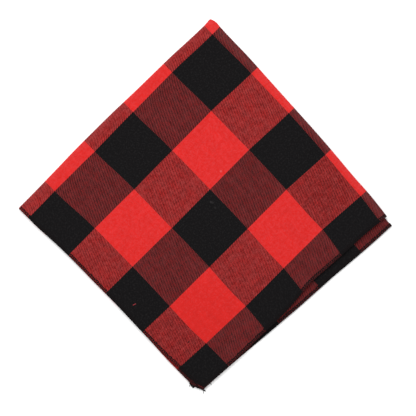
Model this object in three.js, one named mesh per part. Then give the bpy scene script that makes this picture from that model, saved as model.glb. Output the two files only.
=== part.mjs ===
// Folded dog bandana: one square of checked cotton twill with a narrow stitched hem, folded in
// half and in half again, and laid flat as a diamond. Millimetres, +Z up. Seen from above, the
// closed centre of the cloth points to +Y, and its four open corners lie together at -Y.
import * as THREE from 'three';

// The cloth. Its thickness includes the loft of the weave.
const sheet = 1.0;
const pitch = 1.5; // from the middle of one layer to the middle of the next
const quarter = { a: 246, b: 244 }; // sides of the folded square
const hem = { bevel: 0.8, width: 3.3, slope: 0.7, raised: 0.2 };
const cornerCut = { a: 12, b: 7 }; // how far from each cloth corner its blunt end starts
const cornerPower = 1.3; // 1 cuts a corner off straight, 2 makes it a quarter ellipse
const centreCut = { a: 4, b: 2.5 }; // the same at the closed centre, once folded
const centrePower = 2;

// Corners of the upper pair of layers, and of the lower pair where it lies elsewhere
const top = new THREE.Vector2(6.3, 174.9);
const left = new THREE.Vector2(-174.3, -2.6);
const right = new THREE.Vector2(169.2, -10.1);
const bottom = new THREE.Vector2(-3.6, -171.8);
const lowerRight = new THREE.Vector2(174.2, -18.6);
const lowerBottom = new THREE.Vector2(-5.4, -174.7);

// How far each side lies outside the straight line between its corners, a row for each tenth
// of its length. secondFold and firstFold run from the top corner to the left and the right
// one. The hems across from them run on to the bottom: secondHem from the right corner and
// firstHem from the left one.
const upperSides = [
  { secondFold: 0.0, firstFold: 0.0, firstHem: 0.0, secondHem: 0.0 },
  { secondFold: -0.1, firstFold: 0.3, firstHem: -0.1, secondHem: -1.7 },
  { secondFold: 0.8, firstFold: 1.2, firstHem: -1.2, secondHem: -2.1 },
  { secondFold: 1.0, firstFold: 1.3, firstHem: -1.6, secondHem: -2.7 },
  { secondFold: 1.3, firstFold: 1.5, firstHem: -1.2, secondHem: -3.3 },
  { secondFold: 1.7, firstFold: 1.8, firstHem: -1.0, secondHem: -0.5 },
  { secondFold: 1.6, firstFold: 2.2, firstHem: -0.3, secondHem: 1.1 },
  { secondFold: 1.2, firstFold: 1.8, firstHem: 0.5, secondHem: 1.1 },
  { secondFold: 0.7, firstFold: 0.8, firstHem: 1.0, secondHem: 1.5 },
  { secondFold: 0.2, firstFold: 0.9, firstHem: -0.1, secondHem: 1.0 },
  { secondFold: 0.0, firstFold: 0.0, firstHem: 0.0, secondHem: 0.0 },
];
const lowerSides = [
  { secondFold: 0.0, firstFold: 0.0, firstHem: 0.0, secondHem: 0.0 },
  { secondFold: -0.1, firstFold: 0.0, firstHem: -0.2, secondHem: 0.6 },
  { secondFold: 0.8, firstFold: 0.6, firstHem: -1.5, secondHem: 0.5 },
  { secondFold: 1.0, firstFold: 0.8, firstHem: -2.1, secondHem: 0.1 },
  { secondFold: 1.3, firstFold: 1.0, firstHem: -2.1, secondHem: 0.4 },
  { secondFold: 1.7, firstFold: 1.2, firstHem: -2.2, secondHem: 0.6 },
  { secondFold: 1.6, firstFold: 1.4, firstHem: -1.9, secondHem: 0.3 },
  { secondFold: 1.2, firstFold: 1.2, firstHem: -1.3, secondHem: 0.1 },
  { secondFold: 0.7, firstFold: 0.4, firstHem: -0.3, secondHem: -0.2 },
  { secondFold: 0.2, firstFold: 0.2, firstHem: 0.0, secondHem: -0.3 },
  { secondFold: 0.0, firstFold: 0.0, firstHem: 0.0, secondHem: 0.0 },
];

// Places where the layers stand a little further apart: how high the top layer is lifted
const lifts = [
  { x: -88, y: 88, reach: 45, lift: 0.6 },
  { x: 95, y: 72, reach: 38, lift: 0.9 },
  { x: 10, y: -10, reach: 60, lift: 0.4 },
  { x: 135, y: -8, reach: 30, lift: 0.7 },
  { x: -70, y: -78, reach: 40, lift: 0.5 },
  { x: 62, y: -88, reach: 34, lift: 0.6 },
];

// The two folds. Each layer pair turns round firstFoldRadius, then both pairs together turn
// round secondFoldRadius.
const firstFoldRadius = pitch / 2;
const secondFoldRadius = pitch;
const middleHeight = 1.5 * pitch + sheet / 2;
const firstFoldCentre = pitch / 2 + sheet / 2 + hem.raised;
const secondFoldCentre = middleHeight + hem.raised;
const topHeight = 2 * middleHeight;
const halfTurn = {
  a: Math.PI / 2 * secondFoldRadius,
  b: Math.PI / 2 * firstFoldRadius,
};
const reach = {
  a: quarter.a - secondFoldCentre + halfTurn.a,
  b: quarter.b - firstFoldCentre + halfTurn.b,
};

// A side of the diamond: a smooth curve, bowed out of the straight line by a table's column
function side(from, to, bows, outward) {
  const normal = new THREE.Vector2(from.y - to.y, to.x - from.x).normalize().multiplyScalar(outward);
  const points = bows.map((bow, i) => new THREE.Vector2()
    .lerpVectors(from, to, i / (bows.length - 1))
    .addScaledVector(normal, bow));
  return new THREE.SplineCurve(points);
}

// A pair of layers fills the patch between its four sides: s runs from the second fold to the
// hem across from it, and t from the first fold to its hem.
function patch(rightCorner, bottomCorner, sides) {
  const secondFold = side(top, left, sides.map((row) => row.secondFold), -1);
  const firstFold = side(top, rightCorner, sides.map((row) => row.firstFold), 1);
  const firstHem = side(left, bottomCorner, sides.map((row) => row.firstHem), -1);
  const secondHem = side(rightCorner, bottomCorner, sides.map((row) => row.secondHem), 1);
  return (s, t) => {
    const across = secondFold.getPoint(t).lerp(secondHem.getPoint(t), s);
    const along = firstFold.getPoint(s).lerp(firstHem.getPoint(s), t);
    const near = top.clone().lerp(rightCorner, s);
    const far = left.clone().lerp(bottomCorner, s);
    return across.add(along).sub(near.lerp(far, t));
  };
}

const upperPatch = patch(right, bottom, upperSides);
const lowerPatch = patch(lowerRight, lowerBottom, lowerSides);

// One fold: a strip bent round a centre, its flat ends running away from the fold. The result
// is the distance from the fold's outer edge, and the height over the fold's middle.
function bend(along, radius, centre, turn) {
  if (Math.abs(along) < turn) {
    const angle = along / turn * Math.PI / 2;
    return { run: centre - radius * Math.cos(angle), rise: radius * Math.sin(angle) };
  }
  return { run: centre + Math.abs(along) - turn, rise: radius * Math.sign(along) };
}

// A blunt corner: in the box between the cut and the corner, where x and y run from 0 to 1, a
// point is drawn in towards the box's inner corner.
function blunt(a, b, ends, cut, power) {
  const x = (Math.abs(a) - ends.a + cut.a) / cut.a;
  const y = (Math.abs(b) - ends.b + cut.b) / cut.b;
  if (x <= 0 || y <= 0) return [a, b];
  const share = Math.max(x, y) / (x ** power + y ** power) ** (1 / power);
  return [
    Math.sign(a) * (ends.a + cut.a * (x * share - 1)),
    Math.sign(b) * (ends.b + cut.b * (y * share - 1)),
  ];
}

function liftAt(x, y) {
  return lifts.reduce((sum, p) => {
    const far = ((x - p.x) ** 2 + (y - p.y) ** 2) / p.reach ** 2;
    return sum + p.lift * Math.exp(-far);
  }, 0);
}

// Where a point of the flat cloth lies once it is folded. a is its distance from the second
// fold and b from the first, both signed, and offset its distance out of the cloth's middle.
function folded(a, b, offset) {
  const pair = bend(b, firstFoldRadius + offset, firstFoldCentre, halfTurn.b);
  const stack = bend(a, secondFoldRadius + pair.rise, secondFoldCentre, halfTurn.a);
  const [toHemA, toHemB] = blunt(
    quarter.a - stack.run,
    quarter.b - pair.run,
    quarter,
    centreCut,
    centrePower,
  );
  const s = 1 - toHemA / quarter.a;
  const t = 1 - toHemB / quarter.b;
  const upper = THREE.MathUtils.clamp(0.5 + a / (2 * halfTurn.a), 0, 1);
  const place = lowerPatch(s, t).lerp(upperPatch(s, t), upper);
  const height = middleHeight + stack.rise;
  const share = Math.max(0, (height - sheet) / (topHeight - sheet));
  return new THREE.Vector3(place.x, place.y, height + share * liftAt(place.x, place.y));
}

// The hem stands a little proud of the cloth, on the side that faces up
function hemRise(toHem) {
  const climb = THREE.MathUtils.clamp(toHem / hem.bevel, 0, 1);
  const fall = THREE.MathUtils.clamp((hem.width + hem.slope - toHem) / hem.slope, 0, 1);
  return hem.raised * Math.min(climb, fall);
}

// Lines of the mesh across one direction of the cloth: close together in the fold and the hem
function meshLines(end, turn, foldSteps) {
  const fromHem = [0, hem.bevel, hem.width, hem.width + hem.slope, cornerCut.b, cornerCut.a];
  const half = [];
  for (let i = 1; i <= foldSteps; i++) half.push(turn * i / foldSteps);
  const flat = end - cornerCut.a - turn;
  const steps = 9;
  for (let i = 1; i < steps; i++) half.push(turn + flat * (i / steps) ** 1.15);
  fromHem.reverse().forEach((d) => half.push(end - d));
  return [...half.map((d) => -d).reverse(), 0, ...half];
}

function clothGeometry() {
  const aLines = meshLines(reach.a, halfTurn.a, 6);
  const bLines = meshLines(reach.b, halfTurn.b, 4);
  const rows = bLines.length;
  const points = [];
  const outer = [];
  const inner = [];
  aLines.forEach((lineA) => bLines.forEach((lineB) => {
    const [a, b] = blunt(lineA, lineB, reach, cornerCut, cornerPower);
    const rise = hemRise(Math.min(reach.a - Math.abs(lineA), reach.b - Math.abs(lineB)));
    const facesUp = THREE.MathUtils.clamp(0.5 + a * b / (4 * halfTurn.a * halfTurn.b), 0, 1);
    outer.push(points.push(folded(a, b, sheet / 2 + rise * facesUp)) - 1);
    inner.push(points.push(folded(a, b, -sheet / 2 - rise * (1 - facesUp))) - 1);
  }));

  const index = [];
  const quad = (p, q, r, s) => index.push(p, q, r, p, r, s);
  for (let i = 0; i + 1 < aLines.length; i++) {
    for (let j = 0; j + 1 < rows; j++) {
      const [p, q, r, s] = [i * rows + j, i * rows + j + 1, (i + 1) * rows + j + 1, (i + 1) * rows + j];
      quad(outer[p], outer[q], outer[r], outer[s]);
      quad(inner[s], inner[r], inner[q], inner[p]);
    }
  }
  // The rim of the cloth, walked once round
  const rim = [];
  const last = aLines.length - 1;
  for (let i = 0; i < last; i++) rim.push(i * rows);
  for (let j = 0; j < rows - 1; j++) rim.push(last * rows + j);
  for (let i = last; i > 0; i--) rim.push(i * rows + rows - 1);
  for (let j = rows - 1; j > 0; j--) rim.push(j);
  rim.forEach((p, i) => {
    const q = rim[(i + 1) % rim.length];
    quad(outer[p], outer[q], inner[q], inner[p]);
  });

  const geometry = new THREE.BufferGeometry().setFromPoints(points);
  geometry.setIndex(index);
  geometry.computeBoundingBox();
  const middle = geometry.boundingBox.getCenter(new THREE.Vector3());
  geometry.translate(-middle.x, -middle.y, 0);
  geometry.computeVertexNormals();
  return geometry;
}

const cotton = new THREE.MeshStandardMaterial({ color: 0x8c2a2a, roughness: 0.95, metalness: 0 });
const cloth = new THREE.Mesh(clothGeometry(), cotton);
cloth.name = 'cloth';

const bandana = new THREE.Group();
bandana.add(cloth);

export default bandana;
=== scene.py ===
import math

import bpy
import numpy as np
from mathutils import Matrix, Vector


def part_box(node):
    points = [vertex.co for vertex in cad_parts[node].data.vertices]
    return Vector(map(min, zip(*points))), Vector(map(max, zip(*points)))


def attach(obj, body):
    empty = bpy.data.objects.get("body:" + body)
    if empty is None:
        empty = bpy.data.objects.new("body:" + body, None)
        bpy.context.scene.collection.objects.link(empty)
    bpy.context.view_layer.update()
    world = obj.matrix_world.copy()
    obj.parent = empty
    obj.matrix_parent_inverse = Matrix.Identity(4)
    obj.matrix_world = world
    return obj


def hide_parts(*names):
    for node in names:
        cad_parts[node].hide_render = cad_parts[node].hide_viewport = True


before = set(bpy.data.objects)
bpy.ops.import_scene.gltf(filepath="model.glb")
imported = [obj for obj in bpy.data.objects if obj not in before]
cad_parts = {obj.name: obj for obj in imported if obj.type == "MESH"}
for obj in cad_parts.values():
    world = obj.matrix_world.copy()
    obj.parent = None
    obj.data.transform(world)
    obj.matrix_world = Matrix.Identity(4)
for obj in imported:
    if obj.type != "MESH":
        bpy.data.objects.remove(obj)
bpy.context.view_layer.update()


# The cloth: a square of yarn-dyed cotton twill, cut along its threads. It is woven in broad
# stripes both ways, so that red crosses red, black crosses black, and the squares between are
# mixed. It starts flat, right side up, with +X along the weft and +Y along the warp.
CHECK = 0.0508
CUT = {"left": 0.2560, "right": 0.2461, "outer": 0.2443, "inner": 0.2453}  # from the folds to each cut
SECOND_FOLD_IN_CHECKS = -1.235  # where the folds fall in the pattern
FIRST_FOLD_IN_CHECKS = -1.12

# The cut at the right wanders off the thread by this many millimetres, at each tenth of the way
# from the first fold to a corner
RIGHT_CUT_WANDERS = [0.0, -1.7, -2.1, -2.7, -3.3, -0.5, 1.1, 1.1, 1.5, 1.0, 0.0]

# The cloth is pulled a little out of square: how far each line between two stripes has moved,
# in millimetres, where it crosses the lines of the other way and where it meets the hem
CROSSINGS = [-1, 0, 1, 2, 3, 3.6]  # the lines and the hem, counted in checks
WARP_LINES_MOVED = [
    [1.7, 1.3, 2.0, 2.8, 1.2, 1.1],
    [0.7, 0.1, 1.3, 2.3, 1.3, 1.5],
    [0.4, -0.3, 1.1, 2.2, 1.7, 1.8],
    [1.0, -0.2, 1.4, 2.4, 2.9, 2.5],
    [0.5, -1.2, 0.5, 1.8, 1.4, 0.8],
]
WEFT_LINES_MOVED = [
    [3.0, 2.4, 2.0, 3.0, 4.6, 6.3],
    [1.0, 0.3, -0.7, -0.9, -0.7, 2.2],
    [0.8, 0.4, -0.1, -0.6, 0.2, 2.2],
    [0.0, -0.3, -0.5, -1.2, 0.0, 2.3],
    [0.5, -0.2, -0.4, -0.2, 0.5, 0.6],
]
PULL_FADES_OVER = 0.03  # only the quarter that ends on top is pulled about

CLOTH_THICK = 0.0007
LAYER_STEP = 0.0015  # from the middle of one layer to the middle of the next, once folded

# How much cloth is in half of each fold
FOLD_TURN = {"first": math.pi / 2 * LAYER_STEP / 2, "second": math.pi / 2 * LAYER_STEP}
FINE_PAST_FOLD = 1.3  # the mesh stays fine to a little past each fold
HEM_LINES = np.array([0.0, 0.6, 1.2, 1.8, 2.4, 3.0, 4.4, 4.5, 6.0]) / 1000  # from the cut inwards


def thread_lines(low, high, turn, fold_steps, flat_steps):
    """The lines of the cloth's mesh across one direction: close together in the fold and the hems."""
    fine = turn * FINE_PAST_FOLD
    halves = []
    for end in (low, high):
        fold = np.linspace(0, fine, fold_steps + 1)[1:]
        flat = np.linspace(fine, end - HEM_LINES[-1], flat_steps + 1)[1:-1]
        halves.append(np.concatenate([fold, flat, end - HEM_LINES[::-1]]))
    return np.concatenate([-halves[0][::-1], [0.0], halves[1]])


def read_points(mesh):
    points = np.empty(len(mesh.vertices) * 3)
    mesh.vertices.foreach_get("co", points)
    return points.reshape(-1, 3)


def write_points(mesh, points):
    mesh.vertices.foreach_set("co", np.ascontiguousarray(points, dtype=np.float32).ravel())
    mesh.update()


# The grid's lines are evenly spaced, from -1 to 1, until they are moved to the thread lines
across = thread_lines(CUT["left"], CUT["right"], FOLD_TURN["second"], fold_steps=10, flat_steps=72)
along = thread_lines(CUT["outer"], CUT["inner"], FOLD_TURN["first"], fold_steps=8, flat_steps=72)
bpy.ops.object.select_all(action="DESELECT")
bpy.ops.mesh.primitive_grid_add(x_subdivisions=len(across) - 1, y_subdivisions=len(along) - 1, size=2)
cloth = bpy.context.object
cloth.name = cloth.data.name = "bandana_cloth"
flat = read_points(cloth.data)
flat[:, 0] = across[np.rint((flat[:, 0] + 1) / 2 * (len(across) - 1)).astype(int)]
flat[:, 1] = along[np.rint((flat[:, 1] + 1) / 2 * (len(along) - 1)).astype(int)]
write_points(cloth.data, flat)


def moved(lines, across_them, along_them):
    """How far the cloth has moved across the lines, from what is known on each line."""
    on_lines = np.stack([np.interp(along_them, CROSSINGS, line) for line in lines])
    place = np.clip(across_them - CROSSINGS[0], 0, len(lines) - 1)
    first = np.minimum(place.astype(int), len(lines) - 2)
    each = np.arange(len(place))
    return on_lines[first, each] + (on_lines[first + 1, each] - on_lines[first, each]) * (place - first)


# The cloth's own map: its place in the pattern, counted in checks
down = np.abs(flat[:, 1]) / CUT["outer"]
wander = np.interp(down, np.linspace(0, 1, len(RIGHT_CUT_WANDERS)), RIGHT_CUT_WANDERS) / 1000
wander *= np.clip(flat[:, 0] / CUT["right"], 0, 1)
warp_lines = (flat[:, 0] + wander) / CHECK + SECOND_FOLD_IN_CHECKS
weft_lines = FIRST_FOLD_IN_CHECKS - flat[:, 1] / CHECK
past_the_folds = np.clip(np.maximum(-flat[:, 0], flat[:, 1]), 0, None)
pull = np.clip(1 - past_the_folds / PULL_FADES_OVER, 0, 1) / 1000 / CHECK
in_checks = np.column_stack([
    warp_lines - moved(WARP_LINES_MOVED, warp_lines, weft_lines) * pull,
    weft_lines - moved(WEFT_LINES_MOVED, weft_lines, warp_lines) * pull,
])
weave_map = cloth.data.uv_layers.active
weave_map.name = "FlatCloth"
corner_of = np.empty(len(cloth.data.loops), dtype=np.int32)
cloth.data.loops.foreach_get("vertex_index", corner_of)
weave_map.data.foreach_set("uv", in_checks[corner_of].astype(np.float32).ravel())


class Wire:
    """A socket in a material. Sums on wires add the Math nodes that work them out."""

    def __init__(self, finish, socket):
        self.finish, self.socket = finish, socket

    def math(self, operation, *others):
        return self.finish.node("ShaderNodeMath", {"operation": operation}, dict(enumerate([self, *others])))

    def __add__(self, other):
        return self.math("ADD", other)

    def __sub__(self, other):
        return self.math("SUBTRACT", other)

    def __rsub__(self, other):
        return self.finish.node("ShaderNodeMath", {"operation": "SUBTRACT"}, {0: other, 1: self})

    def __mul__(self, other):
        return self.math("MULTIPLY", other)

    def __gt__(self, other):
        return self.math("GREATER_THAN", other)

    def __lt__(self, other):
        return self.math("LESS_THAN", other)

    __radd__ = __add__
    __rmul__ = __mul__


class Finish:
    """A material, and the one way that nodes are added to it."""

    def __init__(self, name, **plain):
        self.material = bpy.data.materials.new(name)
        self.material.use_nodes = True
        self.tree = self.material.node_tree
        self.shader = self.tree.nodes["Principled BSDF"]
        self.plug(self.shader, plain)

    def plug(self, node, inputs):
        for name, value in inputs.items():
            socket = node.inputs[name]
            if isinstance(value, Wire):
                self.tree.links.new(value.socket, socket)
            else:
                socket.default_value = value

    def node(self, kind, settings=None, inputs=None, output=0):
        made = self.tree.nodes.new(kind)
        for name, value in (settings or {}).items():
            setattr(made, name, value)
        self.plug(made, inputs or {})
        return Wire(self, made.outputs[output])

    def mix(self, factor, low, high):
        """A colour between two others."""
        return self.node("ShaderNodeMix", {"data_type": "RGBA"}, {0: factor, 6: low, 7: high}, output=2)

    def noise(self, place, scale, detail=2.0, dimensions="2D"):
        """Soft noise on a place, from -0.5 to 0.5 about its middle."""
        inputs = {"Vector": place, "Scale": scale, "Detail": detail}
        return self.node("ShaderNodeTexNoise", {"noise_dimensions": dimensions}, inputs) - 0.5

    def stretched(self, place, factors):
        """A place with its coordinates stretched, for streaks."""
        return self.node("ShaderNodeVectorMath", {"operation": "MULTIPLY"}, {0: place, 1: factors})

    def distance(self, place, point):
        """How far a place is from a point."""
        return self.node("ShaderNodeVectorMath", {"operation": "DISTANCE"}, {0: place, 1: point}, output=1)


def twill_finish():
    """Yarn-dyed 2/2 twill: warp and weft each in stripes one check wide, the denser warp on top."""
    ends, picks = 116, 76  # yarns in one check, of the warp and of the weft
    pick_wide = 0.76  # share of its room that a pick fills, with warp showing between the picks
    wales_along_weft, wales_along_warp = 9.2, 19.7  # the broad diagonal ridges in one check
    warp_share = 0.62  # how much of the surface is warp
    float_contrast = 0.75  # how clearly the single floats show

    # Each yarn's colour where it crosses the other, in linear light. Where red and black cross, the colours
    # hold painted shade, and black also a painted red reflection.
    red = (0.513, 0.0150, 0.0130, 1)
    pinker_red = (0.503, 0.0255, 0.0260, 1)
    black = (0.0042, 0.0037, 0.0041, 1)
    # Red warp crossing black: painted shade, the red painted darker as if shaded by the black beside it; the
    # dusty one is greyer with fuzz
    shaded_red_warp_on_black = (0.323, 0.0165, 0.0160, 1)
    dusty_shaded_warp_on_black = (0.305, 0.0310, 0.0300, 1)
    # Black yarn crossing red: painted shade in green and blue, and a painted red reflection bounced off the
    # red yarn beside it
    red_lit_shaded_black_weft = (0.0155, 0.001, 0.001, 1)
    red_lit_shaded_black_warp = (0.0165, 0.0022, 0.0022, 1)
    # Red weft under black warp: painted shade, darker still where it lies deep between the black
    shaded_red_weft_under_black = (0.201, 0.0165, 0.0175, 1)
    dusty_shaded_weft_under_black = (0.190, 0.0290, 0.0300, 1)
    # pale lint, and painted sheen off fibres that catch the light
    pale_lint_and_sheen = (0.40, 0.37, 0.37, 1)

    # Places are counted in checks, and what falls off does so by this much in one check
    shade_and_fade_from = 3.2  # the cloth is duller towards the bottom, from painted light fall-off and a change in the weave
    duller_spot, spot_falls = (2.6, -0.6, 0), 0.75  # and in one place at the right
    shaded_left_strip = -5.8  # painted shade: the strip along the left cut, which sticks out at the right from under the upper pair, is painted a little darker as if in its shadow
    crease_band, lit_fuzzy_band = 0.25, 0.10  # how far a fold shows on either side, in the weave and in lint with a painted highlight
    pale_flecks = [
        {"at": (0.908, 0.635, 0), "share": 0.18},
        {"at": (1.172, 1.152, 0), "share": 0.04},
        {"at": (1.200, 1.138, 0), "share": 0.04},
        {"at": (1.307, 1.169, 0), "share": 0.03},
    ]
    fleck_falls = 34

    made = Finish("red_black_twill", **{
        "Specular IOR Level": 0.05, "Sheen Weight": 0.06, "Sheen Roughness": 0.5,
    })
    place = made.node("ShaderNodeUVMap", {"uv_map": "FlatCloth"})
    weft_way = made.node("ShaderNodeSeparateXYZ", inputs={0: place}, output=0)
    warp_way = made.node("ShaderNodeSeparateXYZ", inputs={0: place}, output=1)

    def striped(way):
        return way.math("FLOORED_MODULO", 2.0) < 1.0

    warp_red, weft_red = striped(weft_way), striped(warp_way)

    # Which yarn is on top: over two, under two, one yarn further on at each pick
    end, pick = weft_way * ends, warp_way * picks
    warp_up = (end.math("FLOOR") - pick.math("FLOOR")).math("FLOORED_MODULO", 4.0) < 2.0
    across_end = (end.math("FRACT") * 2 - 1).math("ABSOLUTE")
    across_pick = (pick.math("FRACT") * 2 - 1).math("ABSOLUTE")
    on_top = warp_up.math("MAXIMUM", across_pick > pick_wide)

    # Uneven yarns, lint and dust, each so many to a check, and ridges in which the wales stand out
    warp_streaks = made.noise(made.stretched(place, (38.0, 1.6, 1.0)), 1.0)
    weft_streaks = made.noise(made.stretched(place, (1.3, 27.0, 1.0)), 1.0)
    patches = made.noise(place, 6.0)
    mottle = made.noise(place, 16.0)
    lint = made.noise(place, 34.0)
    dust = made.noise(place, 8.0) * 1.7 + lint * 0.8 + 0.5
    ridge = ((weft_way * wales_along_weft - warp_way * wales_along_warp) * math.tau).math("SINE")
    # towards the bottom: painted light fall-off in the brightness, and a change in the weave
    shade_and_fade = (weft_way + warp_way - shade_and_fade_from).math("MAXIMUM", 0)
    duller = (1 - made.distance(place, duller_spot) * spot_falls).math("MAXIMUM", 0)
    off_second_fold = (weft_way - SECOND_FOLD_IN_CHECKS).math("ABSOLUTE")
    off_first_fold = (warp_way - FIRST_FOLD_IN_CHECKS).math("ABSOLUTE")

    # How much warp shows: each kind of unevenness by its own weight
    uneven = ridge * (patches * 0.12 - shade_and_fade * 0.012 + 0.045) + warp_streaks * 0.31 - weft_streaks * 0.34
    uneven = uneven + lint * (shade_and_fade * 0.10 + 0.34) + mottle * 0.44 + patches * 0.20
    uneven = uneven - shade_and_fade * 0.02 - duller * 0.13
    uneven = uneven + (crease_band - off_second_fold).math("MAXIMUM", 0) * 0.2
    share = (on_top - warp_share) * float_contrast + warp_share + uneven

    any_red = made.mix(lint * 1.6 + mottle * 1.6 - shade_and_fade * 0.18 + 0.4, red, pinker_red)
    # painted shade on the red that crosses black, mixed with the dusty fuzz
    warp_over_black = made.mix(dust, shaded_red_warp_on_black, dusty_shaded_warp_on_black)
    weft_under_black = made.mix(dust, shaded_red_weft_under_black, dusty_shaded_weft_under_black)
    warp_colour = made.mix(weft_red, made.mix(warp_red, black, warp_over_black),
                           made.mix(warp_red, red_lit_shaded_black_warp, any_red))
    weft_colour = made.mix(warp_red, made.mix(weft_red, black, weft_under_black),
                           made.mix(weft_red, red_lit_shaded_black_weft, any_red))
    colour = made.mix(share, weft_colour, warp_colour)

    # How bright it all is, and the pale lint on it: a trace everywhere that is partly painted sheen off
    # fibres catching the light, and more on the worn folds, partly a painted highlight where they catch the
    # light
    tone_and_shade = 1 + warp_streaks * 0.13 + weft_streaks * 0.13 + mottle * 0.13 + patches * 0.10
    # painted light fall-off towards the bottom, and painted shade on the strip along the left cut
    tone_and_shade = tone_and_shade - shade_and_fade * 0.035 - duller * 0.04 - (weft_way < shaded_left_strip) * 0.10
    colour = made.node("ShaderNodeVectorMath", {"operation": "SCALE"}, {0: colour, 3: tone_and_shade})
    # the folds: worn lint and a painted highlight where they catch the light
    worn_and_lit = (lit_fuzzy_band - off_second_fold).math("MAXIMUM", 0)
    worn_and_lit = worn_and_lit + (lit_fuzzy_band - off_first_fold).math("MAXIMUM", 0)
    lint_and_sheen_share = lint * 0.05 + worn_and_lit * 0.22 + 0.0005
    for fleck in pale_flecks:
        near = (1 - made.distance(place, fleck["at"]) * fleck_falls).math("MAXIMUM", 0)
        lint_and_sheen_share = lint_and_sheen_share + near * fleck["share"]
    colour = made.mix(lint_and_sheen_share, colour, pale_lint_and_sheen)

    rounded = warp_up * (1 - across_end * across_end) + (1 - warp_up) * (1 - across_pick * across_pick)
    height = rounded * 0.5 + ridge * 0.25 + warp_streaks * 0.8 + weft_streaks * 0.8
    relief = made.node("ShaderNodeBump", inputs={"Strength": 0.35, "Distance": 0.00012, "Height": height})
    made.plug(made.shader, {"Base Color": colour, "Roughness": 0.9 + patches * 0.1, "Normal": relief})
    return made.material


cloth.data.materials.append(twill_finish())


# The hem: a three-thread overlock in black, sewn over the cut edge all the way round. Two
# threads whip over the edge at each stitch, one straight and one on the slant, a third runs
# along the needle line, and all of them lock in a bead on the edge itself.
STITCH_LENGTH = 0.0022
STITCH_DEPTH = 0.0043  # from the edge to the needle line
DEPTH_VARIES = 0.05  # from stitch to stitch, as a share of the depth
NEEDLE_SLIPS = 0.00012  # along the edge
THREAD_WIDE = 0.00078
THREAD_THICK = 0.00022
THREAD_REST = CLOTH_THICK / 2 + THREAD_THICK / 4  # a thread's middle sinks a little into the cloth


def select(*pieces):
    """Selects these pieces and nothing else, the first of them active."""
    bpy.ops.object.select_all(action="DESELECT")
    for piece in pieces:
        piece.select_set(True)
    bpy.context.view_layer.objects.active = pieces[0]


def thread_curve(name, runs, width):
    """Threads as poly curves with a four-sided section, made a mesh."""
    curve = bpy.data.curves.new(name, "CURVE")
    curve.dimensions = "3D"
    curve.bevel_depth = width / 2
    curve.bevel_resolution = 0
    curve.use_fill_caps = True
    for run in runs:
        spline = curve.splines.new("POLY")
        spline.points.add(len(run) - 1)
        for point, place in zip(spline.points, run):
            point.co = (*place, 1)
    thread = bpy.data.objects.new(name, curve)
    bpy.context.collection.objects.link(thread)
    select(thread)
    bpy.ops.object.convert(target="MESH")
    bpy.ops.object.shade_smooth()
    return bpy.context.object


# One stitch along +X, its edge on the X axis and the cloth towards +Y. It is drawn with threads
# as thick as they are wide, and then pressed flat. Each stitch laps the next one a little.
press = THREAD_THICK / THREAD_WIDE
face = THREAD_REST / press
turn_in = 0.0002  # a thread goes through the cloth, or over its edge, in this length
past_edge = 0.0001  # the whipped threads stand this far off the cut
bead_in, bead_out = 0.00002, 0.00006  # and the bead wanders by so little along it
step, deep = STITCH_LENGTH, STITCH_DEPTH
before, halfway, after = -0.05 * step, 0.5 * step, 1.05 * step
straight = [(0, deep, 0), (0, deep - turn_in, face), (0.1 * step, turn_in, face),
            (0.16 * step, -past_edge, 0), (0.22 * step, turn_in, -face),
            (0.42 * step, deep - turn_in, -face), (0.42 * step, deep, 0)]
slanting = [(0.72 * step, deep, 0), (0.70 * step, deep - turn_in, face), (0.52 * step, turn_in, face),
            (0.60 * step, -past_edge, 0), (0.70 * step, turn_in, -face),
            (0.98 * step, deep - turn_in, -face), (0.98 * step, deep, 0)]
needle = [(before, deep, face * 0.7), (halfway, deep, face * 1.2), (after, deep, face * 0.7)]
needle_under = [(x, y, -z) for x, y, z in needle]
bead = [(before, bead_in, 0), (0.25 * step, -bead_out, face * 0.3),
        (0.65 * step, bead_in, -face * 0.3), (after, bead_in, 0)]
stitch = thread_curve("stitch", [straight, slanting, needle, needle_under, bead], THREAD_WIDE)
bpy.ops.transform.resize(value=(1, 1, press))
bpy.ops.object.transform_apply(location=False, rotation=False, scale=True)

# A row of stitches for each edge: how long the edge is, how far it is turned, and where it starts
edges = [
    {"length": CUT["left"] + CUT["right"], "turn": 0, "start": (-CUT["left"], -CUT["outer"])},
    {"length": CUT["outer"] + CUT["inner"], "turn": 90, "start": (CUT["right"], -CUT["outer"])},
    {"length": CUT["left"] + CUT["right"], "turn": 180, "start": (CUT["right"], CUT["inner"])},
    {"length": CUT["outer"] + CUT["inner"], "turn": 270, "start": (-CUT["left"], CUT["inner"])},
]
uneven_sewing = np.random.default_rng(seed=7)
rows = []
for edge in edges:
    row = stitch.copy()
    row.data = stitch.data.copy()
    bpy.context.collection.objects.link(row)
    count = round(edge["length"] / STITCH_LENGTH)
    repeat = row.modifiers.new("row", "ARRAY")
    repeat.count = count
    repeat.use_relative_offset = False
    repeat.use_constant_offset = True
    repeat.constant_offset_displace = (edge["length"] / count, 0, 0)
    select(row)
    bpy.ops.object.modifier_apply(modifier="row")

    points = read_points(row.data)
    which = np.repeat(np.arange(count), len(points) // count)
    depth = uneven_sewing.normal(0, DEPTH_VARIES, count)
    slip = uneven_sewing.normal(0, NEEDLE_SLIPS, count)
    towards_needle = np.clip(points[:, 1] / STITCH_DEPTH, 0, 1)
    points[:, 1] *= 1 + depth[which] * towards_needle
    points[:, 0] += slip[which] * towards_needle
    turn = math.radians(edge["turn"])
    turned = np.column_stack([
        points[:, 0] * math.cos(turn) - points[:, 1] * math.sin(turn) + edge["start"][0],
        points[:, 0] * math.sin(turn) + points[:, 1] * math.cos(turn) + edge["start"][1],
        points[:, 2],
    ])
    write_points(row.data, turned)
    rows.append(row)
bpy.data.objects.remove(stitch)
select(*rows)
bpy.ops.object.join()
stitches = bpy.context.object
stitches.name = stitches.data.name = "hem_stitches"


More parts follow.
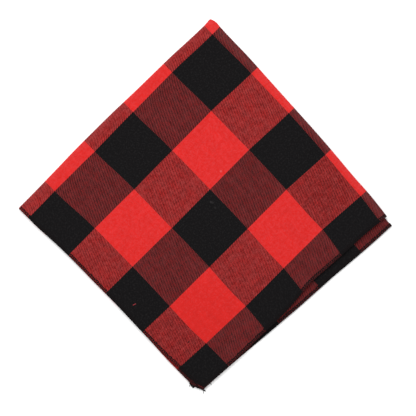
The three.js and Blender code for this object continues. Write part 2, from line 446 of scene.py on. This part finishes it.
def thread_finish():
    """Soft black spun thread: matt, with a fine twist and a little lint, so many to a metre."""
    made = Finish("black_thread", **{
        "Specular IOR Level": 0.04, "Sheen Weight": 0.03, "Sheen Roughness": 0.4,
    })
    place = made.node("ShaderNodeTexCoord", output=3)
    lint = made.noise(place, 900.0, detail=3.0, dimensions="3D")
    twist = made.noise(place, 3200.0, detail=3.0, dimensions="3D")
    colour = made.mix(lint + 0.5, (0.0034, 0.0027, 0.0030, 1), (0.0090, 0.0064, 0.0069, 1))
    relief = made.node("ShaderNodeBump", inputs={"Strength": 0.4, "Distance": 0.0001, "Height": twist})
    made.plug(made.shader, {"Base Color": colour, "Roughness": 0.8 + lint * 0.2, "Normal": relief})
    return made.material


def give(piece, material):
    """Puts this material on a piece, and no other."""
    piece.data.materials.clear()
    piece.data.materials.append(material)


black_thread = thread_finish()
give(stitches, black_thread)


# Two knobs in the weave: a slub of red yarn that is caught in a black square, and a fleck of
# black lint on a mixed one. Both are soft cotton fibre, pressed flat on the right side.
RED_SLUB = {"run": [(0.1415, -0.2319, 0), (0.1419, -0.2310, 0), (0.1424, -0.2294, 0)], "width": 0.0008}
BLACK_FLECK = {"run": [(0.2030, -0.2205, 0), (0.2037, -0.2192, 0)], "width": 0.0012}
red_slub = thread_curve("red_slub", [RED_SLUB["run"]], RED_SLUB["width"])
black_fleck = thread_curve("black_fleck", [BLACK_FLECK["run"]], BLACK_FLECK["width"])
for knob in (red_slub, black_fleck):
    points = read_points(knob.data)
    points[:, 2] = points[:, 2] * press + CLOTH_THICK / 2
    write_points(knob.data, points)

red_yarn = Finish("red_yarn", **{"Base Color": (0.24, 0.012, 0.020, 1), "Roughness": 0.9})
give(red_slub, red_yarn.material)
give(black_fleck, black_thread)


# Folding: the sewn cloth is folded in half along the weft, right side out, and again along the
# warp, and laid flat with the closed centre at the top. The hand fold isn't quite square, so
# the lower pair of layers sticks out at the right. The corners are in millimetres.
TOP, LEFT, RIGHT, BOTTOM = (6.3, 174.9), (-174.3, -2.6), (169.2, -10.1), (-3.6, -171.8)
LOWER_RIGHT, LOWER_BOTTOM = (174.2, -18.6), (-5.4, -174.7)

# How far each side bows out of the straight line between its corners, at each tenth of it
UPPER_SIDES = {
    "second_fold": [0.0, 0.3, 1.2, 1.4, 1.6, 2.1, 2.1, 1.9, 1.1, 0.4, 0.0],
    "first_fold": [0.0, 0.4, 1.3, 1.5, 1.7, 1.9, 2.1, 1.8, 1.2, 1.2, 0.0],
    "first_hem": [0.0, 0.1, -1.0, -1.3, -0.9, -0.6, 0.1, 1.0, 1.4, 0.1, 0.0],
    "second_hem": RIGHT_CUT_WANDERS,
}
LOWER_SIDES = {
    "second_fold": UPPER_SIDES["second_fold"],
    "first_fold": [0.0, 0.0, 0.6, 0.8, 1.0, 1.2, 1.4, 1.2, 0.4, 0.2, 0.0],
    "first_hem": [0.0, 0.0, -1.5, -2.0, -1.9, -2.0, -1.8, -1.2, -0.2, 0.0, 0.0],
    "second_hem": [0.0, 0.6, 0.5, 0.1, 0.4, 0.6, 0.3, 0.1, -0.2, -0.3, 0.0],
}


def side_curve(start, end, bows, outward):
    """A smooth curve through the side's points, to be read at any share of its length."""
    start, end = np.array(start) / 1000, np.array(end) / 1000
    normal = np.array([start[1] - end[1], end[0] - start[0]])
    normal *= outward / np.linalg.norm(normal) / 1000
    shares = np.linspace(0, 1, len(bows))[:, None]
    points = start + (end - start) * shares + normal * np.array(bows)[:, None]
    points = np.vstack([points[0], points, points[-1]])

    def at(share):
        place = np.clip(share, 0, 1) * (len(bows) - 1)
        first = np.minimum(place.astype(int), len(bows) - 2)
        t = (place - first)[:, None]
        p0, p1, p2, p3 = (points[first + k] for k in range(4))
        v0, v1 = (p2 - p0) / 2, (p3 - p1) / 2
        return (2 * p1 - 2 * p2 + v0 + v1) * t**3 + (3 * p2 - 3 * p1 - 2 * v0 - v1) * t**2 + v0 * t + p1

    return at


def pair_patch(right, bottom, sides):
    """A pair of layers fills the patch between its four sides."""
    second_fold = side_curve(TOP, LEFT, sides["second_fold"], -1)
    first_fold = side_curve(TOP, right, sides["first_fold"], 1)
    first_hem = side_curve(LEFT, bottom, sides["first_hem"], -1)
    second_hem = side_curve(right, bottom, sides["second_hem"], 1)
    corners = [np.array(corner) / 1000 for corner in (TOP, right, LEFT, bottom)]

    def at(s, t):
        sc, tc = s[:, None], t[:, None]
        across_it = (1 - sc) * second_fold(t) + sc * second_hem(t)
        along_it = (1 - tc) * first_fold(s) + tc * first_hem(s)
        near = (1 - sc) * corners[0] + sc * corners[1]
        far = (1 - sc) * corners[2] + sc * corners[3]
        return across_it + along_it - (1 - tc) * near - tc * far

    return at


upper_patch = pair_patch(RIGHT, BOTTOM, UPPER_SIDES)
lower_patch = pair_patch(LOWER_RIGHT, LOWER_BOTTOM, LOWER_SIDES)

QUARTER = {"second": 0.246, "first": 0.244}  # the folded cloth, from each fold to its hem
SOLID_SHEET = 0.001  # the solid's layers are this thick, and the cloth's lie in their middles
MIDDLE_HEIGHT = 1.5 * LAYER_STEP + SOLID_SHEET / 2

# From where each bend starts to its outer edge, and along the cloth from its middle to the cut
FOLD_EDGE = {"first": LAYER_STEP / 2 + CLOTH_THICK / 2, "second": 1.5 * LAYER_STEP + CLOTH_THICK / 2}
REACH = {fold: QUARTER[fold] - FOLD_EDGE[fold] + FOLD_TURN[fold] for fold in QUARTER}

# The cloth's own corners end bluntly, and so does its folded centre. A power of 1 would cut a
# corner straight, and 2 rounds it.
CORNER_CUT = {"second": 0.0135, "first": 0.007}
CORNER_POWER = 1.12
CENTRE_CUT = {"second": 0.006, "first": 0.0035}
CENTRE_POWER = 2.0

# Where the hand fold runs in the flat cloth: the second fold at the first one and at the hems,
# and the first fold at the left hem, in the middle and at the right hem
SECOND_FOLD_DRIFT = (0.0014, -0.0014)
FIRST_FOLD_DRIFT = (0.0063, 0.0028, -0.0017)

# Near the bottom the second layer has slipped out at the lower left and shows its hem. In one
# stretch of the lower right edge the third layer is drawn in and the fourth shows. Places are
# shares of the way from the folds to the hems.
SECOND_SLIPPED = {"down": 0.72, "out": 0.85, "over": 0.1}
THIRD_DRAWN_IN = {"by": 0.0017, "at": 0.765, "reach": 0.055, "way": (-0.66, 0.75), "out": 0.95, "over": 0.05}

# The closed centre isn't quite round: it leans to the left and is full at the right
NUDGES = [
    {"x": 0.0047, "y": 0.1733, "reach": 0.0035, "push": (-0.0011, -0.0002)},
    {"x": 0.0095, "y": 0.1700, "reach": 0.0040, "push": (0.0001, 0.0005)},
]

# The upper layers stand a little higher in a few wide, soft places
LIFTS = [
    {"x": -0.088, "y": 0.088, "reach": 0.045, "lift": 0.0006},
    {"x": 0.095, "y": 0.072, "reach": 0.038, "lift": 0.0009},
    {"x": 0.010, "y": -0.010, "reach": 0.060, "lift": 0.0004},
    {"x": 0.135, "y": -0.008, "reach": 0.030, "lift": 0.0007},
    {"x": -0.070, "y": -0.078, "reach": 0.040, "lift": 0.0005},
    {"x": 0.062, "y": -0.088, "reach": 0.034, "lift": 0.0006},
]


def blunt(a, b, ends, cut, power):
    """A blunt corner: between the cut and the corner, points are drawn in towards the cut."""
    x = (np.abs(a) - ends["second"]) / cut["second"] + 1
    y = (np.abs(b) - ends["first"]) / cut["first"] + 1
    corner = (x > 0) & (y > 0)
    x, y = np.where(corner, x, 1), np.where(corner, y, 1)
    share = np.maximum(x, y) / (x**power + y**power) ** (1 / power)
    a = np.where(corner, np.sign(a) * (ends["second"] + cut["second"] * (x * share - 1)), a)
    b = np.where(corner, np.sign(b) * (ends["first"] + cut["first"] * (y * share - 1)), b)
    return a, b


def bend(run, radius, edge, turn):
    """A strip bent round one fold: how far it lies from the fold's edge, and how high."""
    angle = np.clip(run / turn, -1, 1) * math.pi / 2
    past = np.maximum(np.abs(run) - turn, 0)
    return edge - radius * np.cos(angle) + past, radius * np.sin(angle)


def growing(value, start, over):
    """From 0 at the start to 1 a little further on."""
    return np.clip((value - start) / over, 0, 1)


def near(place, spot):
    """From 1 at a spot to nothing away from it."""
    off = (place[:, 0] - spot["x"])**2 + (place[:, 1] - spot["y"])**2
    return np.exp(-off / spot["reach"]**2)


def folded(points):
    """Where points of the flat cloth lie once it is folded. Z is their height off its middle."""
    x, y, offset = points.T
    second_at = np.interp(np.abs(y) / CUT["outer"], (0, 1), SECOND_FOLD_DRIFT)
    far = np.where(x > second_at, CUT["right"] - second_at, CUT["left"] + second_at)
    a = (x - second_at) / far * REACH["second"]
    first_at = np.interp(x, (-CUT["left"], 0, CUT["right"]), FIRST_FOLD_DRIFT)
    far = np.where(y < first_at, CUT["outer"] + first_at, CUT["inner"] - first_at)
    b = (first_at - y) / far * REACH["first"]

    # Round both folds, to the shares of the way from the second fold (s) and from the first (t)
    a, b = blunt(a, b, REACH, CORNER_CUT, CORNER_POWER)
    pair_run, pair_rise = bend(b, LAYER_STEP / 2 + offset, FOLD_EDGE["first"], FOLD_TURN["first"])
    stack_run, stack_rise = bend(a, LAYER_STEP + pair_rise, FOLD_EDGE["second"], FOLD_TURN["second"])
    to_hem = QUARTER["second"] - stack_run, QUARTER["first"] - pair_run
    to_hem = blunt(*to_hem, QUARTER, CENTRE_CUT, CENTRE_POWER)
    s, t = 1 - to_hem[0] / QUARTER["second"], 1 - to_hem[1] / QUARTER["first"]
    upper = np.clip(0.5 + a / (2 * FOLD_TURN["second"]), 0, 1)[:, None]
    place = lower_patch(s, t) * (1 - upper) + upper_patch(s, t) * upper

    slipped = growing(s, SECOND_SLIPPED["down"], SECOND_SLIPPED["over"])
    slipped = slipped * growing(t, SECOND_SLIPPED["out"], SECOND_SLIPPED["over"])
    slipped = np.where((a > 0) & (b < 0), slipped, 0)[:, None]
    place = place + (lower_patch(s, t) - place) * slipped
    drawn_in = np.exp(-((t - THIRD_DRAWN_IN["at"]) / THIRD_DRAWN_IN["reach"])**2) * THIRD_DRAWN_IN["by"]
    drawn_in = drawn_in * growing(s, THIRD_DRAWN_IN["out"], THIRD_DRAWN_IN["over"])
    drawn_in = np.where((a < 0) & (b < 0), drawn_in, 0)[:, None]
    place = place + drawn_in * THIRD_DRAWN_IN["way"]
    for nudge in NUDGES:
        place = place + near(place, nudge)[:, None] * nudge["push"]

    # The lowest layer stays on the surface, and each one above it is lifted more
    height = MIDDLE_HEIGHT + stack_rise
    share = np.clip((height - SOLID_SHEET) / (2 * MIDDLE_HEIGHT - SOLID_SHEET), 0, None)
    for spot in LIFTS:
        height = height + share * spot["lift"] * near(place, spot)
    return np.column_stack([place, np.maximum(height, 0)])


# The folded cloth lies where the solid does, and what is sewn to it goes with it
cloth_points = folded(read_points(cloth.data))
solid_low, solid_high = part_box("cloth")
middle = (cloth_points.min(0) + cloth_points.max(0)) / 2
shift = np.array([
    (solid_low.x + solid_high.x) / 2 - middle[0],
    (solid_low.y + solid_high.y) / 2 - middle[1],
    0,
])
write_points(cloth.data, cloth_points + shift)
for piece in (stitches, red_slub, black_fleck):
    write_points(piece.data, folded(read_points(piece.data)) + shift)
    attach(piece, "root")

select(cloth)
thickness = cloth.modifiers.new("thickness", "SOLIDIFY")
thickness.thickness = CLOTH_THICK
thickness.offset = 0
bpy.ops.object.modifier_apply(modifier="thickness")
bpy.ops.object.shade_smooth()
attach(cloth, "root")
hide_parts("cloth")


# Loose ends: at the bottom corner the overlock runs off the cloth in a short knotted chain of
# its own black thread, and a few hairs of it stand out. Places are in millimetres.
CHAIN_WIDE = 0.0012
CHAIN = [
    [(-12.4, -166.2, 2.6), (-10.6, -167.7, 2.2), (-7.8, -169.2, 1.8), (-4.4, -170.9, 1.5),
     (-0.2, -173.1, 1.2)],
    [(-14.2, -163.9, 2.8), (-14.5, -166.0, 2.2), (-13.0, -168.4, 1.6), (-11.2, -169.6, 1.2),
     (-10.0, -168.6, 1.7)],
    [(-14.4, -165.2, 1.8), (-13.6, -167.2, 1.4), (-12.0, -168.5, 1.2), (-11.0, -170.0, 0.8),
     (-12.2, -170.2, 0.7)],
]
HAIR_WIDE = 0.0004
HAIRS = [
    [(-14.0, -166.4, 1.8), (-14.9, -168.2, 0.9), (-14.6, -169.9, 0.5)],
    [(-1.5, -171.8, 1.4), (-0.2, -173.0, 0.9), (0.7, -173.9, 0.5)],
    [(-1.6, -171.8, 1.4), (-1.9, -174.0, 0.6), (-1.7, -175.9, 0.4)],
    [(4.3, -165.2, 1.6), (5.2, -166.6, 0.8), (5.6, -167.6, 0.5)],
]
ends = []
for name, runs, width in (("chain", CHAIN, CHAIN_WIDE), ("hairs", HAIRS, HAIR_WIDE)):
    end = thread_curve(name, [np.array(run) / 1000 for run in runs], width)
    write_points(end.data, read_points(end.data) + shift)
    ends.append(end)
select(*ends)
bpy.ops.object.join()
loose_ends = bpy.context.object
loose_ends.name = loose_ends.data.name = "loose_ends"
give(loose_ends, black_thread)
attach(loose_ends, "root")


# The set: a white floor under an even white sky, with one soft light from above and the upper
# left. The camera looks straight down.
FLOOR_WIDE = 6
SKY_STRENGTH = 0.88
KEY_LIGHT = {"at": (-0.35, 0.80, 1.75), "wide": 1.5, "watts": 29}
PICTURE_IN_PIXELS = 416
CHECK_IN_PIXELS = 54.5
VIEW_WIDE = PICTURE_IN_PIXELS * CHECK / CHECK_IN_PIXELS
VIEW_OFF_CENTRE = (0.0024, -0.0023)  # from the middle of the cloth to the middle of the picture
CAMERA_HEIGHT = 2.4
SENSOR_WIDE = 36  # in millimetres, as the lens

bpy.ops.object.select_all(action="DESELECT")
bpy.ops.mesh.primitive_plane_add(size=FLOOR_WIDE)
floor = bpy.context.object
floor.name = "floor"
paper = Finish("white_paper", **{
    "Base Color": (0.95, 0.95, 0.95, 1), "Roughness": 0.9, "Specular IOR Level": 0.1,
})
give(floor, paper.material)

sky = bpy.data.worlds.new("studio")
bpy.context.scene.world = sky
sky.use_nodes = True
sky.node_tree.nodes["Background"].inputs["Color"].default_value = (1, 1, 1, 1)
sky.node_tree.nodes["Background"].inputs["Strength"].default_value = SKY_STRENGTH

bpy.ops.object.light_add(type="AREA", location=KEY_LIGHT["at"])
key_light = bpy.context.object
key_light.name = "key"
key_light.data.shape = "DISK"
key_light.data.size = KEY_LIGHT["wide"]
key_light.data.energy = KEY_LIGHT["watts"]
key_light.rotation_euler = Vector(KEY_LIGHT["at"]).to_track_quat("Z", "Y").to_euler()

camera_place = (VIEW_OFF_CENTRE[0] + shift[0], VIEW_OFF_CENTRE[1] + shift[1], CAMERA_HEIGHT)
bpy.ops.object.camera_add(location=camera_place, rotation=(0, 0, 0))
camera = bpy.context.object
camera.data.sensor_width = SENSOR_WIDE
camera.data.lens = SENSOR_WIDE * (CAMERA_HEIGHT - 2 * MIDDLE_HEIGHT) / VIEW_WIDE
bpy.context.scene.camera = camera
bpy.context.scene.view_settings.view_transform = "Standard"
